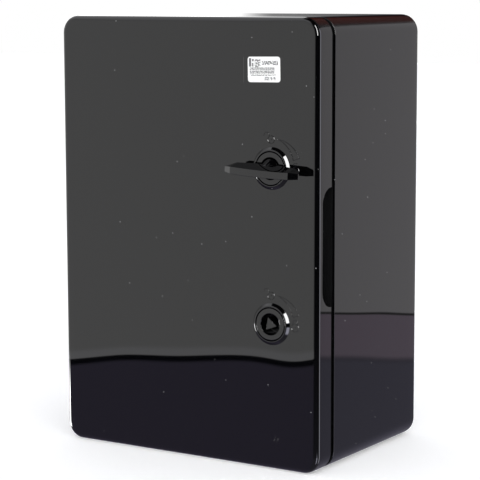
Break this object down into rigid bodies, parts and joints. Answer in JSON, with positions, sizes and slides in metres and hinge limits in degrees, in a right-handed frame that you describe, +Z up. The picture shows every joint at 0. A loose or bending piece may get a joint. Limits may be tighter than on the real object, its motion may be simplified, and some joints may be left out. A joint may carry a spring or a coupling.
{
  "type": "wall-mount enclosure with hinged lockable door",
  "caption": "Gloss black plastic wall-mount electrical enclosure with a hinged door, quarter-turn triangular locks, a wing key and an inner mounting plate.",
  "frame": {"origin": "centre of the back face, which lies against the wall, and of the four wall fixing holes", "axes": "+Z up, +X right as seen from the front, the front faces -Y"},
  "size_m": [0.207, 0.1595, 0.3],
  "materials": {
    "gloss_black_abs": "high gloss moulded",
    "black_lock_plastic": "gloss moulded",
    "black_nut_plastic": "satin moulded",
    "foam_gasket": "foamed polyurethane",
    "black_rubber": "satin",
    "brass": "machined",
    "galvanised_steel": "galvanised sheet",
    "plated_steel": "zinc plated",
    "label_film": "printed film"
  },
  "bodies": {
    "enclosure": {"base_shell": "gloss_black_abs", "plate_inserts": "brass", "mounting_plate": "galvanised_steel", "plate_washers": "plated_steel", "plate_screws": "plated_steel", "hinge_pins": "plated_steel"},
    "door": {"door_panel": "gloss_black_abs", "door_gasket": "foam_gasket", "rating_label": "label_film", "upper_lock_housing": "black_lock_plastic", "lower_lock_housing": "black_lock_plastic", "upper_lock_seal": "black_rubber", "lower_lock_seal": "black_rubber", "upper_lock_nut": "black_nut_plastic", "lower_lock_nut": "black_nut_plastic"},
    "upper_lock": {"upper_lock_core": "black_lock_plastic", "upper_core_ring": "black_rubber", "upper_cam": "galvanised_steel", "upper_cam_washer": "plated_steel", "upper_cam_screw": "plated_steel"},
    "lower_lock": {"lower_lock_core": "black_lock_plastic", "lower_core_ring": "black_rubber", "lower_cam": "galvanised_steel", "lower_cam_washer": "plated_steel", "lower_cam_screw": "plated_steel"},
    "key": {"wing_key": "black_lock_plastic"}
  },
  "joints": [
    {"name": "door_hinge", "type": "hinge", "parent": "enclosure", "child": "door", "pos_m": [-0.099, -0.129, 0], "axis": [0, 0, -1], "range_deg": [0, 120]},
    {"name": "upper_lock_turn", "type": "hinge", "parent": "door", "child": "upper_lock", "pos_m": [0.0684, -0.142, 0.0516], "axis": [0, -1, 0], "range_deg": [0, 90]},
    {"name": "lower_lock_turn", "type": "hinge", "parent": "door", "child": "lower_lock", "pos_m": [0.0684, -0.142, -0.0516], "axis": [0, -1, 0], "range_deg": [0, 90]},
    {"name": "key_pull", "type": "slide", "parent": "upper_lock", "child": "key", "axis": [0, -1, 0], "range_m": [0, 0.028]}
  ]
}
